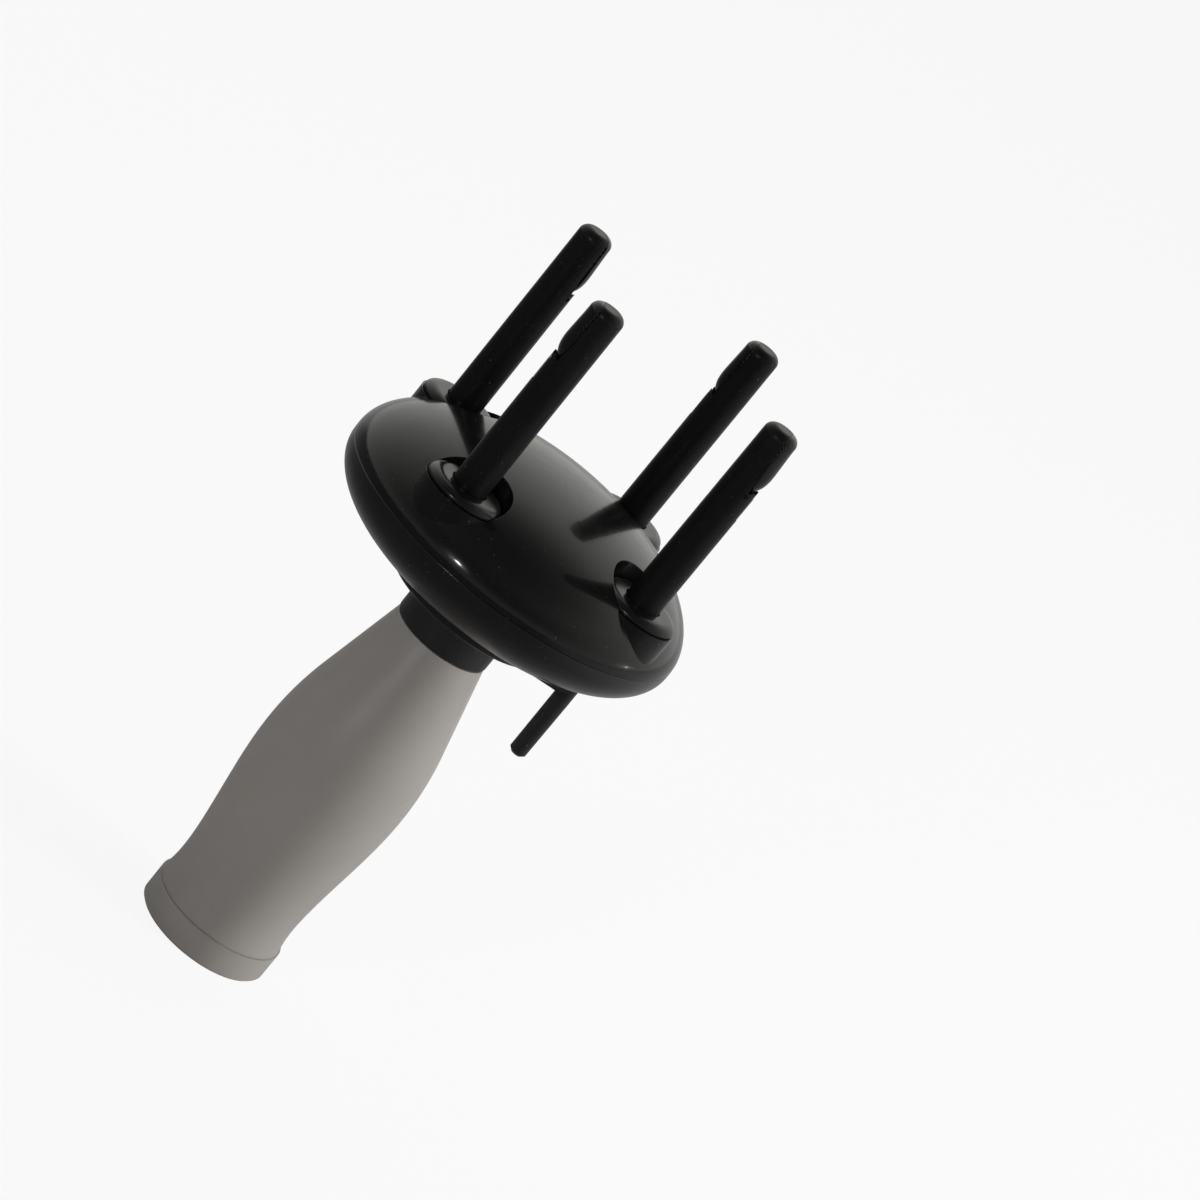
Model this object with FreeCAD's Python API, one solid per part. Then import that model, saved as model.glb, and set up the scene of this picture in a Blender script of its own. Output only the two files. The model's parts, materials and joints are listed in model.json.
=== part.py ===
"""Hand-cranked four-arm cord maker: one STEP file for each piece.

A round pod stands on its pale handle. A crank behind the pod turns the central drive gear,
which turns four pinions, and each pinion spins one long arm with a spring jaw at its tip.
Millimetres. The origin is the centre of the handle's foot, +Z runs up along the arms, and
+X is the way the crank points at rest, midway between arms 3 and 4.
"""
import FreeCAD
import Part

import math
import os

Vector = FreeCAD.Vector
UP = Vector(0, 0, 1)

# Levels above the foot
SEAM_Z = 135.0
HUB_RIM_Z = SEAM_Z - 30.9
ARM_BASE_Z = SEAM_Z + 13.2
ARM_TIP_Z = SEAM_Z + 71.7

# Pod
POD_RADIUS = 50.0
DOME_HEIGHT = 22.3
WALL = 2.2
RIM_BAND = 1.5
REAR_DEPTH = 16.0
CREASE_DEPTH = 18.5
PLATFORM_RADIUS = 23.5
PLATFORM_DEPTH = 20.6
PLATFORM_BEVEL = 0.5
NECK_WALL = 3.0
SEAM_GROOVE = 0.18
TONGUE_HEIGHT = 1.4
TONGUE_WALL = 1.1

# Arms and the round bosses they stand in
ARM_COUNT = 4
ARM_CIRCLE = 37.5
ARM_ANGLES = {3: 45.0, 1: 135.0, 2: 225.0, 4: 315.0}
ARM_RADIUS_BASE = 4.85
ARM_RADIUS_TIP = 4.75
TIP_ROUNDING = 2.4
BOSS_RADIUS = 11.4
BOSS_INNER_RADIUS = 12.6
BOSS_BORE = 9.05
BOSS_BOTTOM_Z = SEAM_Z + 3.0
CAP_RADIUS = 10.9
CAP_TOP_Z = SEAM_Z + 15.0
CAP_FLANGE = 2.2
CAP_ROUNDING_WIDTH = 3.0
CAP_ROUNDING_DEPTH = 2.0
CAP_SLIT = 0.3
CAP_LIP = 0.6
CAP_SIDE_GAP = 0.15
CAP_SEAT_Z = CAP_TOP_Z - CAP_FLANGE - CAP_SLIT
CAP_PLUG_Z = SEAM_Z + 10.8
CAP_PLUG_FIT = 0.03
CAP_SLEEVE_RADIUS = 4.6
CAP_SLEEVE_Z = SEAM_Z + 2.4
ARM_POCKET_RADIUS = ARM_RADIUS_BASE + 0.3

# Running fits, and how far shapes reach into each other where they are joined
RUNNING = 0.05
FREE_GAP = 0.3
OVERLAP = 0.5

# Gears
MODULE = 1.0
DRIVE_TEETH = 60
PINION_TEETH = 15
PRESSURE_ANGLE = math.radians(20.0)
ADDENDUM = 0.9 * MODULE
DEDENDUM = 1.2 * MODULE
BACKLASH = 0.12
GEAR_Z = SEAM_Z - 5.0
GEAR_WIDTH = 6.0
NECK_TOP_Z = GEAR_Z - 1.0
TAIL_POST_TOP_Z = GEAR_Z - 0.6
PINION_OVERHANG = 0.2
WEB_THICKNESS = 2.4
DRIVE_RIM_RADIUS = 26.5
DRIVE_HUB_RADIUS = 12.0
WEB_HOLE_COUNT = 6
WEB_HOLE_RADIUS = 4.6
WEB_HOLE_CIRCLE = 19.3

# Spindles
SPINDLE_RADIUS = 2.5
SPINDLE_TAIL_Z = SEAM_Z - 10.6
SPINDLE_TOP_Z = ARM_BASE_Z + 18.0
TAIL_POST_RADIUS = 5.0
SPINDLE_CHAMFER = 0.4
SPINDLE_END_GAP = 0.2
CLIP_Z = GEAR_Z + GEAR_WIDTH + PINION_OVERHANG
CLIP_THICKNESS = 0.6
CLIP_RADIUS = 4.0
CLIP_GROOVE_RADIUS = 2.05

# Crank
ROD_RADIUS = 4.0
SLEEVE_RADIUS = 9.0
COLLAR_RADIUS = 13.6
COLLAR_ROUNDING = 0.5
HEX_ACROSS_FLATS = 14.0
HUB_NOSE_RADIUS = 6.6
HUB_NOSE_Z = SEAM_Z + 2.6
HUB_CLIP_THICKNESS = 0.8
HUB_CLIP_RADIUS = 9.2
HUB_CLIP_GROOVE = 0.7
CRANK_BAR_RADIUS = 2.5
CRANK_BAR_Z = SEAM_Z - 23.8
CRANK_TENON_RADIUS = 1.7
CRANK_TENON_START = 9.6
PEG_CIRCLE = 34.7
PEG_END_RADIUS = 2.4
PEG_END_Z = SEAM_Z - 46.4
PEG_END_BEVEL = 0.9
MITRED = 1

# Core rod, nuts and washers
ROD_TOP_Z = SEAM_Z + 14.5
ROD_END_Z = 1.8
ROD_FLANGE_RADIUS = 7.0
ROD_FLANGE_THICKNESS = 2.1
ROD_CHAMFER = 0.6
NUT_ACROSS_FLATS = 13.0
LOCK_NUT_HEIGHT = 3.2
FOOT_NUT_HEIGHT = 6.4
CORE_POST_RADIUS = 9.5
CORE_POST_Z = SEAM_Z + 7.0
INSERT_RADIUS = 6.0
INSERT_TOP_Z = SEAM_Z + 15.0
WASHER_RADIUS = 8.0
THRUST_THICKNESS = 1.0
THRUST_GAP = 0.1
HUB_RECESS_RADIUS = 8.5
FOOT_WASHER_THICKNESS = 1.2

# Shell screws
SCREW_CIRCLE = 34.8
SCREW_COUNT = 4
SCREW_RADIUS = 1.5
SCREW_CLEARANCE_RADIUS = 1.7
SCREW_HEAD_RADIUS = 2.5
SCREW_HEAD_HEIGHT = 2.2
SCREW_CROSS_WIDTH = 0.7
SCREW_CROSS_DEPTH = 1.2
SCREW_HEAD_ROUNDING = 0.8
SCREW_SEAT_Z = SEAM_Z - 9.0
SCREW_TIP_Z = SEAM_Z + 8.5
SCREW_POST_RADIUS = 3.4
SCREW_RECESS_RADIUS = 2.8

# Handle
HANDLE_TOP_Z = HUB_RIM_Z - FREE_GAP
HANDLE_TOP_RADIUS = 13.4
HANDLE_FLARE = 0.23
HANDLE_CONE_END_Z = 78.0
HANDLE_SWELL_RADIUS = 21.6
HANDLE_SWELL_Z = 57.0
HANDLE_WAIST_RADIUS = 18.0
HANDLE_WAIST_Z = 20.0
HANDLE_WALL = 3.0
HANDLE_ROOF = 8.0
FOOT_RADIUS = 19.0
FOOT_HEIGHT = 8.0
FOOT_CHAMFER = 0.6
GRIP_END_RADIUS = FOOT_RADIUS - 0.4
SPIGOT_RADIUS = 14.2
SPIGOT_TOP_Z = 14.0
FOOT_POCKET_RADIUS = 8.5
FOOT_POCKET_TOP_Z = 9.6
FOOT_PLUG_Z = 0.3
FOOT_PLUG_THICKNESS = 1.2

# Jaw at each arm's tip, measured down from the tip (drop) and out from the arm's axis (out)
JAW_ANGLES = {1: 8.0, 2: 170.0, 3: 157.0, 4: -20.0}
JAW_LENGTH = 16.4
JAW_PIVOT_DROP = 18.3
JAW_PIVOT_OUT = 2.9
JAW_SPLIT_TIP = 2.2
JAW_SPLIT_END = 2.9
JAW_GAP = 0.15
JAW_BULGE_RADIUS = 5.05
JAW_BULGE_DROPS = (5.5, 9.5, 13.0, 15.4)
JAW_WAIST_RADIUS = 3.9
LEVER_END_DROP = 25.0
LEVER_WIDTH = 3.0
LEVER_THICKNESS = 0.9
LEVER_SHOULDER = 0.5
LEVER_INSIDE_DROP = 20.1
SLOT_WIDTH = 3.2
SLOT_FLOOR_OUT = 1.3
SLOT_TOP_DROP = 15.2
SLOT_END_DROP = 25.6
KNUCKLE_RADIUS = 1.15
JAW_PIN_RADIUS = 0.6
JAW_PIN_LENGTH = 7.2
EAR_INNER_DROP = 17.4
EAR_OUTER_DROP = 16.7
GRIP_GROOVES = 5
GRIP_GROOVE_PITCH = 1.2
GRIP_GROOVE_DEPTH = 0.3
HEEL_OUT = 1.0
HEEL_THICKNESS = 1.2
HEEL_POCKET_OUT = -0.3
HEEL_POCKET_DROPS = (16.8, 19.6)
JAW_SPRING_DROP = 11.2
JAW_SPRING_RADIUS = 0.7
JAW_SPRING_WIRE = 0.12
JAW_SPRING_TURNS = 7
JAW_SPRING_END_GAP = 0.02
JAW_SPRING_BORE = 0.95


def cylinder(radius, low, high, x=0.0, y=0.0):
    """Upright solid cylinder between two levels."""
    return Part.makeCylinder(radius, high - low, Vector(x, y, low), UP)


def tube(outer, inner, low, high, x=0.0, y=0.0):
    """Upright tube between two levels."""
    return cylinder(outer, low, high, x, y).cut(cylinder(inner, low, high, x, y))


def hexagon(across_flats, low, high):
    """Upright hexagonal bar with two flats facing plus and minus Y."""
    corner = across_flats / math.sqrt(3.0)
    points = [Vector(corner * math.cos(math.radians(60 * i)), corner * math.sin(math.radians(60 * i)), low)
              for i in range(7)]
    return Part.Face(Part.makePolygon(points)).extrude(Vector(0, 0, high - low))


def polyline_edges(points):
    """Straight edges through (radius, level) points, leaving out any of no length."""
    corners = [Vector(r, 0, z) for r, z in points]
    pairs = zip(corners, corners[1:])
    return [Part.LineSegment(a, b).toShape() for a, b in pairs if (b - a).Length > 1e-6]


def revolve(edges):
    """Solid of revolution about the Z axis from a closed outline in the XZ plane."""
    face = Part.Face(Part.Wire(Part.__sortEdges__(edges)))
    return face.revolve(Vector(0, 0, 0), UP, 360)


def ellipse_edge(centre_r, centre_z, semi_r, semi_z, sweep=math.pi / 2):
    """Part of a wide ellipse, from its outermost point towards its top (semi_z > 0) or bottom."""
    centre = Vector(centre_r, 0, centre_z)
    outermost = Vector(centre_r + semi_r, 0, centre_z)
    end = Vector(centre_r, 0, centre_z + semi_z)
    ellipse = Part.Ellipse(outermost, end, centre)
    return Part.ArcOfEllipse(ellipse, 0, sweep).toBSpline().toShape()


def move(shape, x=0.0, y=0.0, z=0.0):
    """Copy of a shape, shifted."""
    copy = shape.copy()
    copy.translate(Vector(x, y, z))
    return copy


def turn(shape, degrees, x=0.0, y=0.0):
    """Copy of a shape, turned about an upright line through (x, y)."""
    copy = shape.copy()
    copy.rotate(Vector(x, y, 0), UP, degrees)
    return copy


def on_circle(radius, degrees):
    """Point on a circle about the Z axis."""
    angle = math.radians(degrees)
    return radius * math.cos(angle), radius * math.sin(angle)


def fuse_all(shapes):
    """One solid from several that touch."""
    result = shapes[0]
    for shape in shapes[1:]:
        result = result.fuse(shape)
    return result.removeSplitter()


def ring_of(shape, count, start=0.0):
    """Copies of a shape, spread evenly about the Z axis."""
    return [turn(shape, start + 360.0 * i / count) for i in range(count)]


def half_dome(radius, height):
    """Upper half of a squashed ball that stands on the seam plane."""
    edges = polyline_edges([(0, SEAM_Z + height), (0, SEAM_Z), (radius, SEAM_Z)])
    return revolve(edges + [ellipse_edge(0, SEAM_Z, radius, height)])


def rear_bowl(inset):
    """Filled shape of the rear shell, with its outside moved inwards by inset. From the rim the outside
    follows an ellipse, and then a cone that touches it, down to the crease round the platform."""
    radius = POD_RADIUS - inset
    corner_z = SEAM_Z - RIM_BAND
    crease_z = SEAM_Z - CREASE_DEPTH + inset
    platform_r = PLATFORM_RADIUS - inset
    platform_z = SEAM_Z - PLATFORM_DEPTH + inset
    bevel = PLATFORM_BEVEL
    semi_r = radius - PLATFORM_RADIUS
    semi_z = corner_z - (SEAM_Z - REAR_DEPTH + inset)
    sweep = math.asin(semi_z / (corner_z - crease_z))
    touch = (PLATFORM_RADIUS + semi_r * math.cos(sweep), corner_z - semi_z * math.sin(sweep))
    straight = polyline_edges([touch, (PLATFORM_RADIUS, crease_z), (platform_r, crease_z),
                               (platform_r, platform_z + bevel), (platform_r - bevel, platform_z),
                               (0, platform_z), (0, SEAM_Z), (radius, SEAM_Z), (radius, corner_z)])
    return revolve(straight + [ellipse_edge(PLATFORM_RADIUS, corner_z, semi_r, -semi_z, sweep)])


def boss_walls(middle):
    """Round boss on the outside of the dome and a thicker tube inside it, at each arm."""
    walls = []
    for angle in ARM_ANGLES.values():
        x, y = on_circle(ARM_CIRCLE, angle)
        walls.append(cylinder(BOSS_RADIUS, BOSS_BOTTOM_Z, CAP_SEAT_Z, x, y))
        walls.append(cylinder(BOSS_INNER_RADIUS, BOSS_BOTTOM_Z, SEAM_Z + DOME_HEIGHT, x, y).common(middle))
    return walls


def front_shell():
    """Domed front half of the pod, with four bosses, four screw posts and the core post."""
    inside = half_dome(POD_RADIUS - WALL, DOME_HEIGHT - WALL)
    middle = half_dome(POD_RADIUS - WALL / 2, DOME_HEIGHT - WALL / 2)
    shell = half_dome(POD_RADIUS, DOME_HEIGHT).cut(inside)
    post = cylinder(SCREW_POST_RADIUS, SEAM_Z, SEAM_Z + DOME_HEIGHT, SCREW_CIRCLE).common(middle)
    core = cylinder(CORE_POST_RADIUS, CORE_POST_Z, SEAM_Z + DOME_HEIGHT).common(middle)
    tongue_outer = POD_RADIUS - WALL
    tongue = tube(tongue_outer, tongue_outer - TONGUE_WALL, SEAM_Z - TONGUE_HEIGHT, SEAM_Z + WALL)
    for shape in boss_walls(middle) + ring_of(post, SCREW_COUNT) + [core, tongue]:
        shell = shell.fuse(shape)
    top = SEAM_Z + 2 * DOME_HEIGHT
    for angle in ARM_ANGLES.values():
        x, y = on_circle(ARM_CIRCLE, angle)
        shell = shell.cut(cylinder(CAP_RADIUS + CAP_SIDE_GAP, CAP_SEAT_Z, top, x, y))
        shell = shell.cut(cylinder(BOSS_BORE, SEAM_Z, top, x, y))
    pilot = cylinder(SCREW_RADIUS, SEAM_Z - TONGUE_HEIGHT, SCREW_TIP_Z, SCREW_CIRCLE)
    for copy in ring_of(pilot, SCREW_COUNT):
        shell = shell.cut(copy)
    shell = shell.cut(cylinder(INSERT_RADIUS, CORE_POST_Z, INSERT_TOP_Z + FREE_GAP))
    return shell.cut(seam_groove()).removeSplitter()


def seam_groove():
    """Shallow V groove that runs round the pod where its halves meet."""
    deep = POD_RADIUS - SEAM_GROOVE
    wide = POD_RADIUS + SEAM_GROOVE
    half = 2 * SEAM_GROOVE
    return revolve(polyline_edges([(deep, SEAM_Z), (wide, SEAM_Z + half), (wide, SEAM_Z - half), (deep, SEAM_Z)]))


def rear_shell():
    """Rear half of the pod: shallow bowl, raised round platform, bearing neck, tail posts, screw posts."""
    shell = rear_bowl(0).cut(rear_bowl(WALL))
    neck = cylinder(SLEEVE_RADIUS + NECK_WALL, SEAM_Z - PLATFORM_DEPTH + WALL, NECK_TOP_Z)
    shell = shell.fuse(neck)
    middle = rear_bowl(WALL / 2)
    for angle in ARM_ANGLES.values():
        x, y = on_circle(ARM_CIRCLE, angle)
        post = cylinder(TAIL_POST_RADIUS, SEAM_Z - REAR_DEPTH, TAIL_POST_TOP_Z, x, y)
        shell = shell.fuse(post.common(middle))
    post = cylinder(SCREW_POST_RADIUS, SEAM_Z - REAR_DEPTH, SEAM_Z, SCREW_CIRCLE)
    hole = cylinder(SCREW_CLEARANCE_RADIUS, SEAM_Z - REAR_DEPTH, SEAM_Z, SCREW_CIRCLE)
    recess = cylinder(SCREW_RECESS_RADIUS, SEAM_Z - REAR_DEPTH, SCREW_SEAT_Z, SCREW_CIRCLE)
    for copy in ring_of(post.common(middle), SCREW_COUNT):
        shell = shell.fuse(copy)
    for copy in ring_of(hole.fuse(recess), SCREW_COUNT):
        shell = shell.cut(copy)
    for angle in ARM_ANGLES.values():
        x, y = on_circle(ARM_CIRCLE, angle)
        shell = shell.cut(cylinder(SPINDLE_RADIUS + RUNNING, SPINDLE_TAIL_Z - SPINDLE_END_GAP, SEAM_Z, x, y))
    shell = shell.cut(cylinder(SLEEVE_RADIUS + RUNNING, SEAM_Z - 2 * PLATFORM_DEPTH, SEAM_Z))
    return shell.cut(seam_groove()).removeSplitter()


def cap_flange():
    """Disc on the Z axis whose flat top rolls over to its side in a quarter of a wide ellipse."""
    bottom = CAP_TOP_Z - CAP_FLANGE
    roll = CAP_TOP_Z - CAP_ROUNDING_DEPTH
    flat = CAP_RADIUS - CAP_ROUNDING_WIDTH
    straight = polyline_edges([(flat, CAP_TOP_Z), (0, CAP_TOP_Z), (0, bottom), (CAP_RADIUS, bottom),
                               (CAP_RADIUS, roll)])
    return revolve(straight + [ellipse_edge(flat, roll, CAP_ROUNDING_WIDTH, CAP_ROUNDING_DEPTH)])


def bearing_cap(arm):
    """Flat round cap with a rounded rim, which closes one boss and carries the arm's spindle in its sleeve."""
    x, y = on_circle(ARM_CIRCLE, ARM_ANGLES[arm])
    flange = move(cap_flange(), x, y)
    neck = cylinder(CAP_RADIUS - CAP_LIP, CAP_SEAT_Z, CAP_SEAT_Z + CAP_SLIT + OVERLAP, x, y)
    plug = cylinder(BOSS_BORE - CAP_PLUG_FIT, CAP_PLUG_Z, CAP_SEAT_Z + OVERLAP, x, y)
    sleeve = cylinder(CAP_SLEEVE_RADIUS, CAP_SLEEVE_Z, CAP_PLUG_Z + OVERLAP, x, y)
    cap = fuse_all([flange, neck, plug, sleeve])
    cap = cap.cut(cylinder(ARM_POCKET_RADIUS, ARM_BASE_Z - FREE_GAP, CAP_TOP_Z, x, y))
    return cap.cut(cylinder(SPINDLE_RADIUS + RUNNING, CAP_SLEEVE_Z, CAP_TOP_Z, x, y))


def gear_flank(base_radius, low, high, half_angle, side):
    """Involute flank of one tooth as a smooth curve, from radius low to radius high."""
    points = []
    for i in range(5):
        radius = low + (high - low) * i / 4.0
        roll = math.sqrt(max((radius / base_radius) ** 2 - 1.0, 0.0))
        angle = side * (half_angle - (roll - math.atan(roll)))
        points.append(Vector(radius * math.cos(angle), radius * math.sin(angle), 0))
    curve = Part.BSplineCurve()
    curve.interpolate(points)
    return curve.toShape()


def toothed_blank(teeth, width):
    """Involute spur gear without a bore, standing on z = 0, with one tooth pointing along +X."""
    pitch_radius = MODULE * teeth / 2.0
    base_radius = pitch_radius * math.cos(PRESSURE_ANGLE)
    tip_radius = pitch_radius + ADDENDUM
    root_radius = pitch_radius - DEDENDUM
    involute = math.tan(PRESSURE_ANGLE) - PRESSURE_ANGLE
    half_angle = math.pi / (2 * teeth) - BACKLASH / (4 * pitch_radius) + involute
    start_radius = max(base_radius, root_radius)
    edges = []
    for i in range(teeth):
        turn_by = 2 * math.pi * i / teeth
        tooth = tooth_edges(base_radius, start_radius, root_radius, tip_radius, half_angle, teeth)
        for edge in tooth:
            edge.rotate(Vector(0, 0, 0), UP, math.degrees(turn_by))
        edges.extend(tooth)
    outline = Part.Wire(Part.__sortEdges__(edges))
    return Part.Face(outline).extrude(Vector(0, 0, width))


def tooth_edges(base_radius, start_radius, root_radius, tip_radius, half_angle, teeth):
    """Outline of one tooth about the X axis: root line, flank, tip, flank, root line and root arc."""
    def polar(radius, angle):
        return Vector(radius * math.cos(angle), radius * math.sin(angle), 0)

    lower = gear_flank(base_radius, start_radius, tip_radius, half_angle, -1)
    upper = gear_flank(base_radius, start_radius, tip_radius, half_angle, 1)
    edges = [lower, upper]
    low_end = lower.valueAt(lower.LastParameter)
    high_end = upper.valueAt(upper.LastParameter)
    edges.append(Part.Arc(low_end, Vector(tip_radius, 0, 0), high_end).toShape())
    low_start = lower.valueAt(lower.FirstParameter)
    high_start = upper.valueAt(upper.FirstParameter)
    angle = math.atan2(high_start.y, high_start.x)
    root_low = polar(root_radius, -angle)
    root_high = polar(root_radius, angle)
    if start_radius - root_radius > 1e-6:
        edges.append(Part.LineSegment(root_low, low_start).toShape())
        edges.append(Part.LineSegment(high_start, root_high).toShape())
    pitch = 2 * math.pi / teeth
    edges.append(Part.Arc(root_high, polar(root_radius, pitch / 2), polar(root_radius, pitch - angle)).toShape())
    return edges


def drive_gear():
    """Central gear with a thin web and six round holes, on the hub's hexagon."""
    gear = move(toothed_blank(DRIVE_TEETH, GEAR_WIDTH), z=GEAR_Z)
    top = GEAR_Z + GEAR_WIDTH
    side = (GEAR_WIDTH - WEB_THICKNESS) / 2
    gear = gear.cut(tube(DRIVE_RIM_RADIUS, DRIVE_HUB_RADIUS, GEAR_Z, GEAR_Z + side))
    gear = gear.cut(tube(DRIVE_RIM_RADIUS, DRIVE_HUB_RADIUS, top - side, top))
    hole = cylinder(WEB_HOLE_RADIUS, GEAR_Z, top, WEB_HOLE_CIRCLE)
    for copy in ring_of(hole, WEB_HOLE_COUNT):
        gear = gear.cut(copy)
    return gear.cut(hexagon(HEX_ACROSS_FLATS, GEAR_Z, top))


def pinion(arm):
    """Small gear pressed on one spindle, with a tooth pointing at the pod's axis."""
    angle = ARM_ANGLES[arm]
    x, y = on_circle(ARM_CIRCLE, angle)
    gear = toothed_blank(PINION_TEETH, GEAR_WIDTH + 2 * PINION_OVERHANG)
    gear = turn(gear, angle + 180.0)
    gear = move(gear, x, y, GEAR_Z - PINION_OVERHANG)
    return gear.cut(cylinder(SPINDLE_RADIUS, SPINDLE_TAIL_Z, SPINDLE_TOP_Z, x, y))


def spindle(arm):
    """Steel spindle from the rear shell's tail post up into the arm."""
    x, y = on_circle(ARM_CIRCLE, ARM_ANGLES[arm])
    rod = cylinder(SPINDLE_RADIUS, SPINDLE_TAIL_Z, SPINDLE_TOP_Z, x, y)
    ends = [edge for edge in rod.Edges if abs(edge.BoundBox.ZLength) < 0.001]
    rod = rod.makeChamfer(SPINDLE_CHAMFER, ends)
    return rod.cut(tube(SPINDLE_RADIUS + 1, CLIP_GROOVE_RADIUS, CLIP_Z, CLIP_Z + CLIP_THICKNESS, x, y))


def retaining_clip(outer, inner, low, thickness, x=0.0, y=0.0):
    """Open retaining ring with its mouth towards -Y."""
    ring = tube(outer, inner, low, low + thickness, x, y)
    mouth = Part.makeBox(1.5 * inner, outer + 1, thickness, Vector(x - 0.75 * inner, y - outer - 1, low))
    return ring.cut(mouth)


def spindle_clip(arm):
    """Retaining ring in the spindle's groove, just above the pinion."""
    x, y = on_circle(ARM_CIRCLE, ARM_ANGLES[arm])
    return retaining_clip(CLIP_RADIUS, CLIP_GROOVE_RADIUS, CLIP_Z, CLIP_THICKNESS, x, y)


def arm_profile(bulge=False):
    """Solid of revolution of one arm about z, with its base at 0 and a rounded tip."""
    length = ARM_TIP_Z - ARM_BASE_Z
    tip_r = ARM_RADIUS_TIP - TIP_ROUNDING
    bend = TIP_ROUNDING * math.sqrt(0.5)
    arc = Part.Arc(Vector(ARM_RADIUS_TIP, 0, length - TIP_ROUNDING),
                   Vector(tip_r + bend, 0, length - TIP_ROUNDING + bend), Vector(tip_r, 0, length)).toShape()
    if not bulge:
        outline = [(tip_r, length), (0, length), (0, 0), (ARM_RADIUS_BASE, 0),
                   (ARM_RADIUS_TIP, length - TIP_ROUNDING)]
        return revolve(polyline_edges(outline) + [arc])
    side = Part.BSplineCurve()
    start, full, late, waist = JAW_BULGE_DROPS
    halfway = (JAW_BULGE_RADIUS + JAW_WAIST_RADIUS) / 2
    bulged = [(ARM_RADIUS_TIP, TIP_ROUNDING), (ARM_RADIUS_TIP + 0.1, start), (JAW_BULGE_RADIUS, full),
              (JAW_BULGE_RADIUS, late), (halfway, waist), (JAW_WAIST_RADIUS, JAW_LENGTH)]
    side.interpolate([Vector(r, 0, length - drop) for r, drop in bulged])
    outline = [(tip_r, length), (0, length), (0, length - JAW_LENGTH), (JAW_WAIST_RADIUS, length - JAW_LENGTH)]
    return revolve(polyline_edges(outline) + [arc, side.toShape()])


def side_prism(points, width):
    """Prism from an outline of (out, drop) points, centred across the arm, in the arm's own frame."""
    length = ARM_TIP_Z - ARM_BASE_Z
    corners = [Vector(out, -width / 2.0, length - drop) for out, drop in points]
    return Part.Face(Part.makePolygon(corners + corners[:1])).extrude(Vector(0, width, 0))


def across(radius, width, out, drop):
    """Round bar across the arm, for the jaw's pivot."""
    length = ARM_TIP_Z - ARM_BASE_Z
    return Part.makeCylinder(radius, width, Vector(out, -width / 2.0, length - drop), Vector(0, 1, 0))


def grip_grooves(shift, side):
    """Shallow V grooves across one pinching face, shifted out from the split and cut to the side given."""
    grooves = []
    slope = (JAW_SPLIT_END - JAW_SPLIT_TIP) / JAW_LENGTH
    half = 0.4 * GRIP_GROOVE_PITCH
    for i in range(GRIP_GROOVES):
        drop = (i + 1.5) * GRIP_GROOVE_PITCH
        face = JAW_SPLIT_TIP + slope * drop + shift
        outline = [(face - side * 0.1, drop - half), (face, drop - half), (face + side * GRIP_GROOVE_DEPTH, drop),
                   (face, drop + half), (face - side * 0.1, drop + half)]
        grooves.append(side_prism(outline, 3 * ARM_RADIUS_BASE))
    return grooves


def place_on_arm(shape, arm):
    """Put a piece modelled in the arm's own frame where the arm stands, its jaw side turned to its angle."""
    x, y = on_circle(ARM_CIRCLE, ARM_ANGLES[arm])
    return move(turn(shape, JAW_ANGLES[arm]), x, y, ARM_BASE_Z)


def arm_rod(arm):
    """Long straight arm with a flat for its jaw, a slot for the jaw's lever and a bore for its spindle."""
    far = 3 * ARM_RADIUS_BASE
    face_tip = JAW_SPLIT_TIP - JAW_GAP
    face_end = JAW_SPLIT_END - JAW_GAP
    pocket_top, pocket_end = HEEL_POCKET_DROPS
    rod = arm_profile()
    rod = rod.cut(side_prism([(face_tip, -1), (face_tip, 0), (face_end, JAW_LENGTH), (face_end, EAR_INNER_DROP),
                              (ARM_RADIUS_TIP, EAR_OUTER_DROP), (far, EAR_OUTER_DROP), (far, -1)], far))
    slot = [(face_end, SLOT_TOP_DROP), (SLOT_FLOOR_OUT, JAW_LENGTH), (SLOT_FLOOR_OUT, SLOT_END_DROP),
            (far, SLOT_END_DROP), (far, SLOT_TOP_DROP)]
    rod = rod.cut(side_prism(slot, SLOT_WIDTH))
    pocket_out = SLOT_FLOOR_OUT + OVERLAP
    rod = rod.cut(side_prism([(HEEL_POCKET_OUT, pocket_top), (HEEL_POCKET_OUT, pocket_end),
                              (pocket_out, pocket_end), (pocket_out, pocket_top)], SLOT_WIDTH))
    rod = rod.cut(drop_cylinder(JAW_SPRING_BORE, HEEL_OUT, JAW_SPRING_DROP, pocket_top + OVERLAP))
    rod = rod.cut(across(JAW_PIN_RADIUS, far, JAW_PIVOT_OUT, JAW_PIVOT_DROP))
    for groove in grip_grooves(-JAW_GAP, -1):
        rod = rod.cut(groove)
    rod = rod.cut(cylinder(SPINDLE_RADIUS, -1, SPINDLE_TOP_Z - ARM_BASE_Z))
    return place_on_arm(rod, arm)


def drop_cylinder(radius, out, top_drop, end_drop):
    """Cylinder along the arm between two drops from its tip, in the arm's own frame."""
    length = ARM_TIP_Z - ARM_BASE_Z
    return cylinder(radius, length - end_drop, length - top_drop, out)


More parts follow.
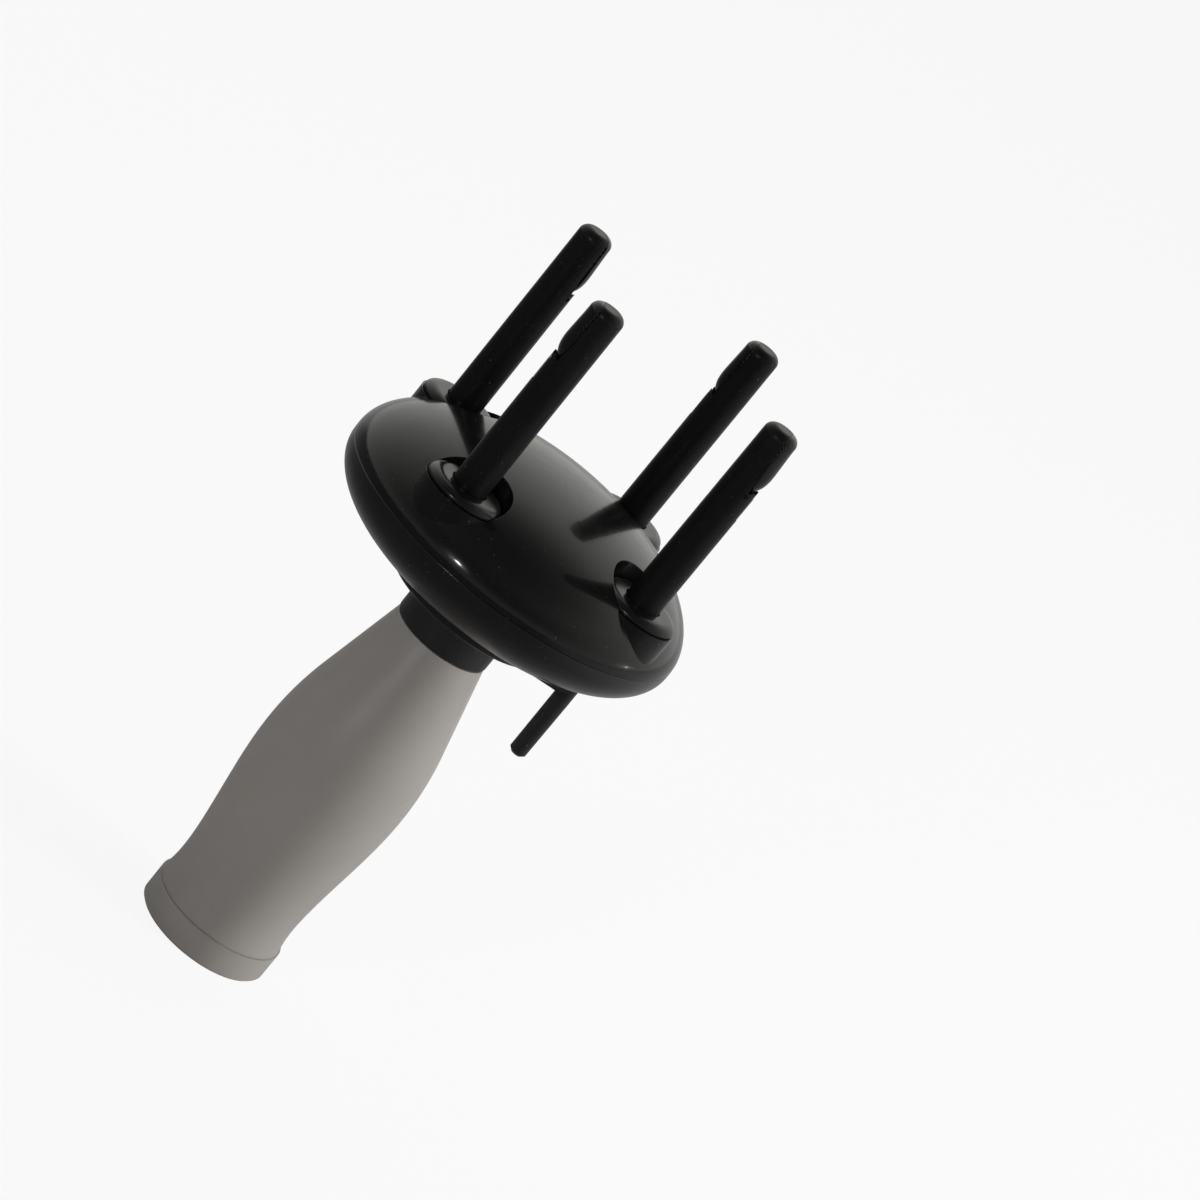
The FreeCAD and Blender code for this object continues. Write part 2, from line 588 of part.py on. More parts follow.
def jaw_lever():
    """Thumb lever, knuckle and inner heel of a jaw, before the pivot is bored."""
    outer = ARM_RADIUS_TIP - RUNNING
    inner = outer - LEVER_THICKNESS
    neck_out = JAW_WAIST_RADIUS - 2 * RUNNING
    top = JAW_LENGTH - 2 * OVERLAP
    pivot = JAW_PIVOT_DROP
    shoulder = LEVER_SHOULDER
    back = JAW_SPLIT_END - shoulder
    outline = [(JAW_SPLIT_END, top), (neck_out, top), (neck_out, pivot - shoulder), (outer, pivot + shoulder),
               (outer, LEVER_END_DROP), (inner, LEVER_END_DROP), (inner, LEVER_INSIDE_DROP),
               (back, pivot + 2 * shoulder), (back, pivot)]
    lever = side_prism(outline, LEVER_WIDTH)
    lever = lever.common(cylinder(outer, -1, ARM_TIP_Z))
    knuckle = across(KNUCKLE_RADIUS, LEVER_WIDTH, JAW_PIVOT_OUT, pivot)
    half = HEEL_THICKNESS / 2
    tip = HEEL_OUT - JAW_SPRING_BORE
    heel = side_prism([(tip, pivot - half), (JAW_PIVOT_OUT, pivot - half), (JAW_PIVOT_OUT, pivot + half),
                       (tip, pivot + half)], LEVER_WIDTH)
    return fuse_all([lever, knuckle, heel])


def jaw(arm):
    """Rocker jaw: a long bulged gripping half above the pivot and a short thumb lever below it."""
    far = 3 * ARM_RADIUS_BASE
    grip = arm_profile(bulge=True)
    grip = grip.common(side_prism([(JAW_SPLIT_TIP, -1), (JAW_SPLIT_TIP, 0), (JAW_SPLIT_END, JAW_LENGTH),
                                   (far, JAW_LENGTH), (far, -1)], far))
    for groove in grip_grooves(0, 1):
        grip = grip.cut(groove)
    body = fuse_all([grip, jaw_lever()])
    body = body.cut(across(JAW_PIN_RADIUS + RUNNING, LEVER_WIDTH + 1, JAW_PIVOT_OUT, JAW_PIVOT_DROP))
    return place_on_arm(body, arm)


def jaw_pin(arm):
    """Cross pin that the jaw rocks on."""
    return place_on_arm(across(JAW_PIN_RADIUS, JAW_PIN_LENGTH, JAW_PIVOT_OUT, JAW_PIVOT_DROP), arm)


def jaw_spring(arm):
    """Small coil spring in the arm's blind bore, which presses down on the jaw's heel and shuts the jaw."""
    length = ARM_TIP_Z - ARM_BASE_Z
    wire = JAW_SPRING_WIRE
    heel_top = JAW_PIVOT_DROP - HEEL_THICKNESS / 2
    low = length - heel_top + wire + JAW_SPRING_END_GAP
    height = heel_top - JAW_SPRING_DROP - 2 * (wire + JAW_SPRING_END_GAP)
    helix = Part.makeHelix(height / JAW_SPRING_TURNS, height, JAW_SPRING_RADIUS)
    section = Part.Wire(Part.makeCircle(wire, Vector(JAW_SPRING_RADIUS, 0, 0), Vector(0, 1, 0)))
    coil = Part.Wire(helix.Edges).makePipeShell([section], True, True)
    return place_on_arm(move(coil, HEEL_OUT, 0, low), arm)


def crank_hub():
    """Black collar behind the pod, with a sleeve through its neck and a hexagon for the drive gear."""
    collar_top = SEAM_Z - PLATFORM_DEPTH - FREE_GAP
    collar = cylinder(COLLAR_RADIUS, HUB_RIM_Z, collar_top)
    rims = [edge for edge in collar.Edges if abs(edge.BoundBox.ZLength) < 0.001]
    collar = collar.makeFillet(COLLAR_ROUNDING, rims)
    sleeve = cylinder(SLEEVE_RADIUS, collar_top - OVERLAP, GEAR_Z)
    drive = hexagon(HEX_ACROSS_FLATS, GEAR_Z - OVERLAP, GEAR_Z + GEAR_WIDTH)
    nose = cylinder(HUB_NOSE_RADIUS, GEAR_Z + GEAR_WIDTH - OVERLAP, HUB_NOSE_Z)
    hub = fuse_all([collar, sleeve, drive, nose])
    groove_z = GEAR_Z + GEAR_WIDTH
    groove_radius = HUB_NOSE_RADIUS - HUB_CLIP_GROOVE
    hub = hub.cut(tube(HUB_NOSE_RADIUS + 1, groove_radius, groove_z, groove_z + HUB_CLIP_THICKNESS))
    hub = hub.cut(cylinder(ROD_RADIUS + RUNNING, HUB_RIM_Z, HUB_NOSE_Z))
    hub = hub.cut(cylinder(HUB_RECESS_RADIUS, HUB_RIM_Z, HUB_RIM_Z + THRUST_THICKNESS + 2 * THRUST_GAP))
    return hub.cut(crank_bar(CRANK_TENON_RADIUS, CRANK_TENON_START, COLLAR_RADIUS + 1))


def gear_clip():
    """Retaining ring that holds the drive gear down on the hub."""
    inner = HUB_NOSE_RADIUS - HUB_CLIP_GROOVE
    return retaining_clip(HUB_CLIP_RADIUS, inner, GEAR_Z + GEAR_WIDTH, HUB_CLIP_THICKNESS)


def crank_bar(radius, start, end):
    """Round bar along +X at the crank arm's level."""
    return Part.makeCylinder(radius, end - start, Vector(start, 0, CRANK_BAR_Z), Vector(1, 0, 0))


def crank_arm():
    """Round bar out from the collar, mitred into the finger peg that points down, in one piece."""
    radius = CRANK_BAR_RADIUS
    taper_top = CRANK_BAR_Z - 2 * radius
    corner = Vector(PEG_CIRCLE, 0, CRANK_BAR_Z)
    run = [Part.LineSegment(Vector(COLLAR_RADIUS - 1, 0, CRANK_BAR_Z), corner).toShape(),
           Part.LineSegment(corner, Vector(PEG_CIRCLE, 0, taper_top)).toShape()]
    section = Part.Wire(Part.makeCircle(radius, Vector(COLLAR_RADIUS - 1, 0, CRANK_BAR_Z), Vector(1, 0, 0)))
    bar = Part.Wire(run).makePipeShell([section], True, True, MITRED)
    bar = bar.cut(cylinder(COLLAR_RADIUS, HUB_RIM_Z, SEAM_Z))
    peg = Part.makeCone(PEG_END_RADIUS, radius, taper_top - PEG_END_Z, Vector(PEG_CIRCLE, 0, PEG_END_Z), UP)
    lowest = [edge for edge in peg.Edges if abs(edge.BoundBox.ZMax - PEG_END_Z) < 0.001]
    peg = peg.makeChamfer(PEG_END_BEVEL, lowest)
    tenon = crank_bar(CRANK_TENON_RADIUS, CRANK_TENON_START, COLLAR_RADIUS + 1)
    return fuse_all([bar, peg, tenon])


def core_rod():
    """Fixed steel rod through the handle and the crank hub, with a flange that seats on the handle."""
    rod = cylinder(ROD_RADIUS, ROD_END_Z, ROD_TOP_Z)
    ends = [edge for edge in rod.Edges if abs(edge.BoundBox.ZLength) < 0.001]
    rod = rod.makeChamfer(ROD_CHAMFER, ends)
    flange_top = HUB_RIM_Z
    return rod.fuse(cylinder(ROD_FLANGE_RADIUS, flange_top - ROD_FLANGE_THICKNESS, flange_top))


def hex_nut(low, height):
    """Hexagonal nut on the core rod, its corners rounded off top and bottom."""
    nut = hexagon(NUT_ACROSS_FLATS, low, low + height)
    corner = NUT_ACROSS_FLATS / math.sqrt(3.0)
    flat = NUT_ACROSS_FLATS / 2.0
    drop = (corner - flat) * math.tan(math.radians(30.0))
    outline = [(0, low), (flat, low), (corner + 0.001, low + drop), (corner + 0.001, low + height - drop),
               (flat, low + height), (0, low + height), (0, low)]
    return nut.common(revolve(polyline_edges(outline))).cut(cylinder(ROD_RADIUS, low, low + height))


def core_insert():
    """Threaded brass insert in the front shell's post, which the core rod screws into."""
    return tube(INSERT_RADIUS, ROD_RADIUS, CORE_POST_Z, INSERT_TOP_Z)


def lock_nut():
    """Thin nut that locks the core rod against the front shell's insert."""
    return hex_nut(CORE_POST_Z - LOCK_NUT_HEIGHT, LOCK_NUT_HEIGHT)


def upper_washer():
    """Thrust washer between the crank hub's nose and the lock nut."""
    low = HUB_NOSE_Z + THRUST_GAP
    return tube(WASHER_RADIUS, ROD_RADIUS, low, low + THRUST_THICKNESS)


def lower_washer():
    """Thrust washer in the recess under the crank hub, on the core rod's flange."""
    return tube(WASHER_RADIUS, ROD_RADIUS, HUB_RIM_Z, HUB_RIM_Z + THRUST_THICKNESS)


def shell_screws():
    """Four screws, set deep in the rear shell, that hold the two halves together."""
    shank = cylinder(SCREW_RADIUS, SCREW_SEAT_Z - OVERLAP, SCREW_TIP_Z, SCREW_CIRCLE)
    head_low = SCREW_SEAT_Z - SCREW_HEAD_HEIGHT
    head = cylinder(SCREW_HEAD_RADIUS, head_low, SCREW_SEAT_Z, SCREW_CIRCLE)
    rim = [edge for edge in head.Edges if abs(edge.BoundBox.ZMax - head_low) < 0.001]
    head = head.makeFillet(SCREW_HEAD_ROUNDING, rim)
    screw = head.fuse(shank)
    cross = 1.1 * SCREW_HEAD_RADIUS
    for length, width in ((cross, SCREW_CROSS_WIDTH), (SCREW_CROSS_WIDTH, cross)):
        corner = Vector(SCREW_CIRCLE - length / 2, -width / 2, head_low)
        screw = screw.cut(Part.makeBox(length, width, SCREW_CROSS_DEPTH, corner))
    return Part.makeCompound(ring_of(screw, SCREW_COUNT))


def handle_outline(inset):
    """Edges of the grip's side, moved inwards by inset: a cone, then a palm swell and a waist."""
    cone_radius = HANDLE_TOP_RADIUS + HANDLE_FLARE * (HANDLE_TOP_Z - HANDLE_CONE_END_Z)
    cone = (cone_radius - inset, HANDLE_CONE_END_Z)
    side = Part.BSplineCurve()
    points = [Vector(cone[0], 0, cone[1]), Vector(HANDLE_SWELL_RADIUS - inset, 0, HANDLE_SWELL_Z),
              Vector(HANDLE_WAIST_RADIUS - inset, 0, HANDLE_WAIST_Z),
              Vector(GRIP_END_RADIUS - inset, 0, FOOT_HEIGHT)]
    side.interpolate(points, InitialTangent=Vector(HANDLE_FLARE, 0, -1), FinalTangent=Vector(0.2, 0, -1))
    return side.toShape(), cone


def handle_grip():
    """Hollow pale grip: flared cone at the top, palm swell, waist above the foot."""
    side, cone = handle_outline(0)
    edges = polyline_edges([(GRIP_END_RADIUS, FOOT_HEIGHT), (0, FOOT_HEIGHT), (0, HANDLE_TOP_Z),
                            (HANDLE_TOP_RADIUS, HANDLE_TOP_Z), cone])
    grip = revolve(edges + [side])
    inner, inner_cone = handle_outline(HANDLE_WALL)
    roof = HANDLE_TOP_Z - HANDLE_ROOF
    roof_radius = HANDLE_TOP_RADIUS + HANDLE_FLARE * HANDLE_ROOF - HANDLE_WALL
    edges = polyline_edges([(GRIP_END_RADIUS - HANDLE_WALL, FOOT_HEIGHT), (0, FOOT_HEIGHT), (0, roof),
                            (roof_radius, roof), inner_cone])
    grip = grip.cut(revolve(edges + [inner]))
    collar = tube(FOOT_RADIUS - 1.5, SPIGOT_RADIUS, FOOT_HEIGHT, SPIGOT_TOP_Z)
    grip = grip.fuse(collar.common(revolve(polyline_edges(
        [(GRIP_END_RADIUS, FOOT_HEIGHT), (0, FOOT_HEIGHT), (0, HANDLE_TOP_Z),
         (HANDLE_TOP_RADIUS, HANDLE_TOP_Z), cone]) + [side])))
    grip = grip.cut(cylinder(ROD_RADIUS, FOOT_HEIGHT, HANDLE_TOP_Z))
    seat = HUB_RIM_Z - ROD_FLANGE_THICKNESS
    return grip.cut(cylinder(ROD_FLANGE_RADIUS, seat, HANDLE_TOP_Z + 1)).removeSplitter()


def handle_foot():
    """Round foot that closes the grip's lower end, with a pocket for the rod's nut and washer."""
    disc = cylinder(FOOT_RADIUS, 0, FOOT_HEIGHT)
    lowest = [edge for edge in disc.Edges if abs(edge.BoundBox.ZMax) < 0.001]
    disc = disc.makeChamfer(FOOT_CHAMFER, lowest)
    foot = disc.fuse(cylinder(SPIGOT_RADIUS, FOOT_HEIGHT, SPIGOT_TOP_Z))
    foot = foot.cut(cylinder(FOOT_POCKET_RADIUS, 0, FOOT_POCKET_TOP_Z))
    return foot.cut(cylinder(ROD_RADIUS, 0, SPIGOT_TOP_Z)).removeSplitter()


def foot_washer():
    """Flat washer under the foot nut."""
    return tube(WASHER_RADIUS, ROD_RADIUS, FOOT_POCKET_TOP_Z - FOOT_WASHER_THICKNESS, FOOT_POCKET_TOP_Z)


def foot_nut():
    """Nut that draws the foot and the grip up against the core rod's flange."""
    return hex_nut(FOOT_POCKET_TOP_Z - FOOT_WASHER_THICKNESS - FOOT_NUT_HEIGHT, FOOT_NUT_HEIGHT)


def foot_plug():
    """Disc that hides the nut, set a little up into the foot."""
    return cylinder(FOOT_POCKET_RADIUS, FOOT_PLUG_Z, FOOT_PLUG_Z + FOOT_PLUG_THICKNESS)


PIECES = {
    "front_shell": front_shell,
    "rear_shell": rear_shell,
    "shell_screws": shell_screws,
    "core_rod": core_rod,
    "core_insert": core_insert,
    "lock_nut": lock_nut,
    "upper_thrust_washer": upper_washer,
    "lower_thrust_washer": lower_washer,
    "handle_grip": handle_grip,
    "handle_foot": handle_foot,
    "foot_washer": foot_washer,
    "foot_nut": foot_nut,
    "foot_plug": foot_plug,
    "crank_hub": crank_hub,
    "drive_gear": drive_gear,
    "gear_clip": gear_clip,
    "crank_arm": crank_arm,
}
ARM_PIECES = {
    "bearing_cap": bearing_cap,
    "spindle": spindle,
    "pinion": pinion,
    "spindle_clip": spindle_clip,
    "arm": arm_rod,
    "jaw": jaw,
    "jaw_pin": jaw_pin,
    "jaw_spring": jaw_spring,
}


def main():
    os.makedirs("parts", exist_ok=True)
    shapes = {name: make() for name, make in PIECES.items()}
    for name, make in ARM_PIECES.items():
        for arm in range(1, ARM_COUNT + 1):
            shapes[f"{name}_{arm}"] = make(arm)
    for name, shape in shapes.items():
        solids = shape.Solids
        if not shape.isValid() or not solids:
            print("check", name, "valid", shape.isValid(), "solids", len(solids))
        shape.exportStep(f"parts/{name}.step")
        print(f"{name}: {len(solids)} solid, {shape.Volume:.0f} mm3")


main()
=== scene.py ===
"""Looks for the hand-cranked cord maker: camera, light, finishes, and the springs that the jaws press."""
import json
import math

import bmesh
import bpy
import numpy as np
from mathutils import Matrix, Vector


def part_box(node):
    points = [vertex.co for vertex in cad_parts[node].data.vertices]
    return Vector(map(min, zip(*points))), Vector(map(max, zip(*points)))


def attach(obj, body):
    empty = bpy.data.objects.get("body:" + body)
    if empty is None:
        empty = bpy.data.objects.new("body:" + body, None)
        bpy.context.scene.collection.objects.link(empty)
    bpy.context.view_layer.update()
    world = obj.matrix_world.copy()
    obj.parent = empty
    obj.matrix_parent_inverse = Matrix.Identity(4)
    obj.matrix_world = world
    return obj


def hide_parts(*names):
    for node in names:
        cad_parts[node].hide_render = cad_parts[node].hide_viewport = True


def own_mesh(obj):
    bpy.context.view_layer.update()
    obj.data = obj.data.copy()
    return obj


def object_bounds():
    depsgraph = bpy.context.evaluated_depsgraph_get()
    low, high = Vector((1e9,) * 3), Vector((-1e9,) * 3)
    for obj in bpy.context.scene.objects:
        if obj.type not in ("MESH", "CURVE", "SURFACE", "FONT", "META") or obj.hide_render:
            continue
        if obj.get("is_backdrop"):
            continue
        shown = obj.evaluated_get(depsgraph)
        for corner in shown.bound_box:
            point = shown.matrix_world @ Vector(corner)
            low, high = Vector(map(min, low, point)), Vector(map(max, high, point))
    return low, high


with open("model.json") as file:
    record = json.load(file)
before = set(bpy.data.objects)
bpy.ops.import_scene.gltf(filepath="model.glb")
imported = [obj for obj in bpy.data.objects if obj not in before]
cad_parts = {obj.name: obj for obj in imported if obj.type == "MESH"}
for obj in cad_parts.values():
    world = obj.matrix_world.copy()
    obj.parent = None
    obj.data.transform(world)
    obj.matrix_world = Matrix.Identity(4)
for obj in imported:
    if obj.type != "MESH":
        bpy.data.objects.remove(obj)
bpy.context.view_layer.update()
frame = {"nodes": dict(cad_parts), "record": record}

MM = 0.001
SEAM = 135.0  # height of the pod's seam above the floor, in millimetres
POD_CENTRE = (0.0, 0.0, SEAM * MM)
ARMS = (1, 2, 3, 4)
SPRING_WIRE = 0.12  # radius of the springs' wire, in millimetres
SPRING_TURNS = 8
scene = bpy.context.scene


# Camera

def place_camera():
    """Camera at the photograph's angle: 17.7 degrees above the pod, 17.9 degrees left of its front,
    rolled so that the arms lean 39.5 degrees clockwise from upright. It looks past the pod's centre,
    a little to its right and above it, from 1171 mm away."""
    azimuth = math.radians(-17.9)
    elevation = math.radians(17.7)
    lean = math.radians(39.5)
    distance, aside, above = 1171.0, 24.8, 2.8
    up = Vector((0, 0, 1))
    right = Vector((math.cos(azimuth), math.sin(azimuth), 0.0))
    level = Vector((-math.sin(azimuth), math.cos(azimuth), 0.0))
    forward = level * math.cos(elevation) - up * math.sin(elevation)
    upward = level * math.sin(elevation) + up * math.cos(elevation)
    place = Vector((0, 0, SEAM)) + right * aside + upward * above - forward * distance
    image_right = right * math.cos(lean) + upward * math.sin(lean)
    image_up = upward * math.cos(lean) - right * math.sin(lean)
    turn = Matrix((image_right, image_up, -forward)).transposed()
    camera = bpy.data.objects.new("camera", bpy.data.cameras.new("camera"))
    camera.data.lens = 140.5
    camera.data.sensor_width = 36.0
    camera.data.clip_start = 0.01
    camera.data.clip_end = 60.0
    camera.matrix_world = Matrix.Translation(place * MM) @ turn.to_4x4()
    scene.collection.objects.link(camera)
    scene.camera = camera


place_camera()


# Materials

class Shade:
    """One output of a shader's nodes, so that shader maths reads as ordinary arithmetic."""

    def __init__(self, tree, socket=None):
        self.tree = tree
        self.socket = socket

    def node(self, kind, settings=None, inputs=None, output=0):
        """Adds a node: settings first, then the values or links of its sockets; returns one output."""
        made = self.tree.nodes.new(kind)
        for key, value in (settings or {}).items():
            setattr(made, key, value)
        for key, value in (inputs or {}).items():
            if isinstance(value, Shade):
                self.tree.links.new(value.socket, made.inputs[key])
            else:
                made.inputs[key].default_value = value
        return Shade(self.tree, made.outputs[output])

    def math(self, operation, first, second):
        return self.node("ShaderNodeMath", {"operation": operation}, {0: first, 1: second})

    def __add__(self, other):
        return self.math("ADD", self, other)

    __radd__ = __add__

    def __sub__(self, other):
        return self.math("SUBTRACT", self, other)

    def __rsub__(self, other):
        return self.math("SUBTRACT", other, self)

    def __mul__(self, other):
        return self.math("MULTIPLY", self, other)

    __rmul__ = __mul__

    def between(self, low, high):
        """0 below low, 1 above high and smooth in between."""
        settings = {"interpolation_type": "SMOOTHSTEP"}
        values = {"Value": self, "From Min": low, "From Max": high}
        return self.node("ShaderNodeMapRange", settings, values)

    def noise(self, scale, detail=2.0, roughness=0.5, distortion=0.0):
        """Cloudy noise from 0 to 1 on a place."""
        values = {"Vector": self, "Scale": scale, "Detail": detail, "Roughness": roughness,
                  "Distortion": distortion}
        return self.node("ShaderNodeTexNoise", None, values)

    def stretched(self, along):
        """A place with each axis multiplied."""
        return self.node("ShaderNodeVectorMath", {"operation": "MULTIPLY"}, {0: self, 1: along})

    def towards(self, direction):
        """How far a place lies in a direction."""
        values = {0: self, 1: direction}
        return self.node("ShaderNodeVectorMath", {"operation": "DOT_PRODUCT"}, values, "Value")

    def blend(self, first, second):
        """Colour from first at 0 to second at 1."""
        return self.node("ShaderNodeMix", {"data_type": "RGBA"}, {0: self, 6: first, 7: second}, 2)

    def soft_edges(self, radius):
        """Surface direction with every sharp edge eased over this radius, in metres."""
        return self.node("ShaderNodeBevel", {"samples": 6}, {"Radius": radius})

    def bump(self, depth, below):
        """Surface direction after this height, in metres, is laid on the direction below it."""
        return self.node("ShaderNodeBump", None, {"Height": self, "Distance": depth, "Normal": below})

    def ray(self, kind):
        """1 for rays of one kind, such as Camera or Glossy, and 0 for the others."""
        return self.node("ShaderNodeLightPath", None, None, "Is %s Ray" % kind)


def new_material(name):
    """Empty material: returns it, its main shader and the place on the object as a Shade."""
    material = bpy.data.materials.new(name)
    material.use_nodes = True
    tree = material.node_tree
    tree.nodes.clear()
    shader = tree.nodes.new("ShaderNodeBsdfPrincipled")
    out = tree.nodes.new("ShaderNodeOutputMaterial")
    tree.links.new(shader.outputs[0], out.inputs[0])
    place = Shade(tree).node("ShaderNodeTexCoord", None, None, "Object")
    return material, shader, place


def connect(shader, key, value):
    """Puts a Shade or a plain value on one socket of the main shader."""
    if isinstance(value, Shade):
        value.tree.links.new(value.socket, shader.inputs[key])
    else:
        shader.inputs[key].default_value = value


def grey(level, warmth=0.0):
    """Neutral linear colour, a little warm or cool."""
    return (level * (1 + warmth), level, level * (1 - warmth), 1.0)


def moulded_plastic(name, colour, dusty, rough, smear, grain, dust, shine, polish=0.0, edge=0.0003):
    """Injection-moulded plastic: base colour with faint cloudiness, handling smears in its roughness,
    a slight waviness from the mould, a fine grain, hair scratches along it and specks of dust. Shine is
    the specular level, at 0.5 for bare plastic and lower for a dull black. Polish is the share of a
    sharper gloss on top, as a polished mould leaves it, and edge is how far sharp edges are eased."""
    material, shader, place = new_material(name)
    clouds = place.noise(scale=45.0, detail=3.0)
    wipes = place.stretched((1.0, 1.0, 0.35)).noise(scale=160.0, detail=4.0, roughness=0.6, distortion=0.6)
    specks = place.noise(scale=1500.0, detail=1.0).between(0.765, 0.80)
    hairs = place.stretched((1.0, 1.0, 0.06)).noise(scale=2400.0, detail=2.0, distortion=0.3)
    scratches = hairs.between(0.66, 0.74) * wipes.between(0.5, 0.7)
    marks = (specks + scratches * 0.3) * dust
    mark_grey = grey(0.13)
    connect(shader, "Base Color", marks.blend(clouds.blend(colour, dusty), mark_grey))
    connect(shader, "Roughness", wipes.between(0.35, 0.75) * smear + scratches * 0.1 + rough)
    waves = place.noise(scale=120.0, detail=1.0) * 0.7 + place.noise(scale=900.0, detail=2.0) * grain
    connect(shader, "Normal", waves.bump(depth=0.00006, below=place.soft_edges(edge)))
    connect(shader, "Specular IOR Level", shine)
    connect(shader, "Coat Weight", polish)
    connect(shader, "Coat Roughness", 0.05)
    return material


def turned_metal(name, colour, rough, spread):
    """Drawn or turned metal: fine rings along its length that vary its roughness and colour."""
    material, shader, place = new_material(name)
    rings = place.stretched((60.0, 60.0, 9000.0)).noise(scale=1.0, detail=3.0)
    clouds = place.noise(scale=260.0, detail=3.0)
    darker = tuple(level * 0.72 for level in colour[:3]) + (1.0,)
    connect(shader, "Base Color", (rings * 0.6 + clouds * 0.4).blend(darker, colour))
    connect(shader, "Roughness", rings * spread + rough)
    connect(shader, "Normal", rings.bump(depth=0.00001, below=place.soft_edges(0.00015)))
    connect(shader, "Metallic", 1.0)
    return material


shell = {"colour": grey(0.0035, 0.03), "dusty": grey(0.009, 0.03), "dust": 0.9}
collar = {"colour": grey(0.006, 0.02), "dusty": grey(0.012, 0.02), "dust": 0.9}
crank = {"colour": grey(0.011), "dusty": grey(0.018), "dust": 0.9}
tube = {"colour": grey(0.005), "dusty": grey(0.011), "dust": 1.0}
tip = {"colour": grey(0.004), "dusty": grey(0.009), "dust": 1.0}
grip = {"colour": grey(0.32, 0.07), "dusty": grey(0.36, 0.07), "dust": 0.3}
nylon = {"colour": grey(0.62, 0.05), "dusty": grey(0.70, 0.05), "dust": 0.3}
plastics = {
    "pod_black": dict(shell, rough=0.17, smear=0.06, grain=0.04, shine=0.14, polish=0.28),
    "rear_black": dict(shell, rough=0.18, smear=0.08, grain=0.06, shine=0.42),
    "cap_black": dict(shell, rough=0.19, smear=0.06, grain=0.06, shine=0.26),
    "hub_black": dict(collar, rough=0.40, smear=0.10, grain=0.80, shine=0.45),
    "crank_black": dict(crank, rough=0.34, smear=0.10, grain=0.20, shine=0.35),
    "arm_black": dict(tube, rough=0.27, smear=0.12, grain=0.20, shine=0.14),
    "jaw_black": dict(tip, rough=0.16, smear=0.08, grain=0.08, shine=0.14, polish=0.25, edge=0.0005),
    "grip_grey": dict(grip, rough=0.36, smear=0.10, grain=0.30, shine=0.5),
    "gear_nylon": dict(nylon, rough=0.42, smear=0.10, grain=0.30, shine=0.5),
}
metals = {
    "steel": {"colour": (0.58, 0.58, 0.59, 1.0), "rough": 0.22, "spread": 0.16},
    "spring_steel": {"colour": (0.44, 0.44, 0.46, 1.0), "rough": 0.18, "spread": 0.14},
    "black_steel": {"colour": (0.030, 0.030, 0.032, 1.0), "rough": 0.34, "spread": 0.14},
    "brass": {"colour": (0.72, 0.54, 0.26, 1.0), "rough": 0.24, "spread": 0.14},
}
finishes = {name: moulded_plastic(name, **look) for name, look in plastics.items()}
finishes.update({name: turned_metal(name, **look) for name, look in metals.items()})


def dress(thing, finish):
    """Gives an object one finish all over."""
    thing.data.materials.clear()
    thing.data.materials.append(finishes[finish])


for part in frame["record"]["subparts"]:
    dress(frame["nodes"][part["node"]], part["material_slot"])
dress(frame["nodes"]["rear_shell"], "rear_black")
dress(frame["nodes"]["crank_hub"], "hub_black")
dress(frame["nodes"]["crank_arm"], "crank_black")
for arm in ARMS:
    dress(frame["nodes"]["bearing_cap_%d" % arm], "cap_black")
    dress(frame["nodes"]["jaw_pin_%d" % arm], "black_steel")


# Jaw springs

def wire_mesh(name, rings):
    """Closed skin over rings of points along a wire: its ends are flat, and its faces point outwards."""
    count, sides = rings.shape[:2]
    here = np.arange(count - 1)[:, None] * sides + np.arange(sides)
    beside = np.arange(count - 1)[:, None] * sides + (np.arange(sides) + 1) % sides
    faces = np.stack([here, beside, beside + sides, here + sides], -1).reshape(-1, 4).tolist()
    faces += [list(range(sides)), list(range((count - 1) * sides, count * sides))]
    mesh = bpy.data.meshes.new(name)
    mesh.from_pydata(rings.reshape(-1, 3).tolist(), [], faces)
    skin = bmesh.new()
    skin.from_mesh(mesh)
    bmesh.ops.recalc_face_normals(skin, faces=skin.faces)
    skin.to_mesh(mesh)
    skin.free()
    mesh.polygons.foreach_set("use_smooth", [True] * len(mesh.polygons))
    piece = bpy.data.objects.new(name, mesh)
    scene.collection.objects.link(piece)
    return piece


def coil_spring(name, low, high):
    """Round wire wound round an upright axis between two corners of its space. Along the wire the angle
    grows evenly; the height grows by little more than the wire's thickness in the first and last turn,
    and evenly between them. Round the wire a point goes in a circle square to the wire."""
    wire = SPRING_WIRE * MM
    steps, sides = 24, 10
    radius = (high[0] - low[0]) / 2 - wire
    climb = high[2] - low[2] - 2 * wire
    end_turn = 2.2 * wire
    turn = np.linspace(0.0, SPRING_TURNS, SPRING_TURNS * steps + 1)
    height = np.interp(turn, [0, 1, SPRING_TURNS - 1, SPRING_TURNS], [0, end_turn, climb - end_turn, climb])
    outward = np.stack([np.cos(2 * np.pi * turn), np.sin(2 * np.pi * turn), 0 * turn], 1)
    start = np.array([(low[0] + high[0]) / 2, (low[1] + high[1]) / 2, low[2] + wire])
    middle = start + radius * outward + height[:, None] * np.array([0.0, 0.0, 1.0])
    along = np.gradient(middle, axis=0)
    along /= np.linalg.norm(along, axis=1)[:, None]
    across = np.cross(along, outward)
    around = np.linspace(0.0, 2 * np.pi, sides, endpoint=False)[None, :, None]
    circle = np.cos(around) * outward[:, None] + np.sin(around) * across[:, None]
    return wire_mesh(name, middle[:, None] + wire * circle)


for arm in ARMS:
    node = "jaw_spring_%d" % arm
    low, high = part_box(node)
    spring = coil_spring("spring_wire_%d" % arm, low, high)
    dress(spring, "spring_steel")
    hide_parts(node)
    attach(spring, "spinner_%d" % arm)
    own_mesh(spring)


# Floor, light and background

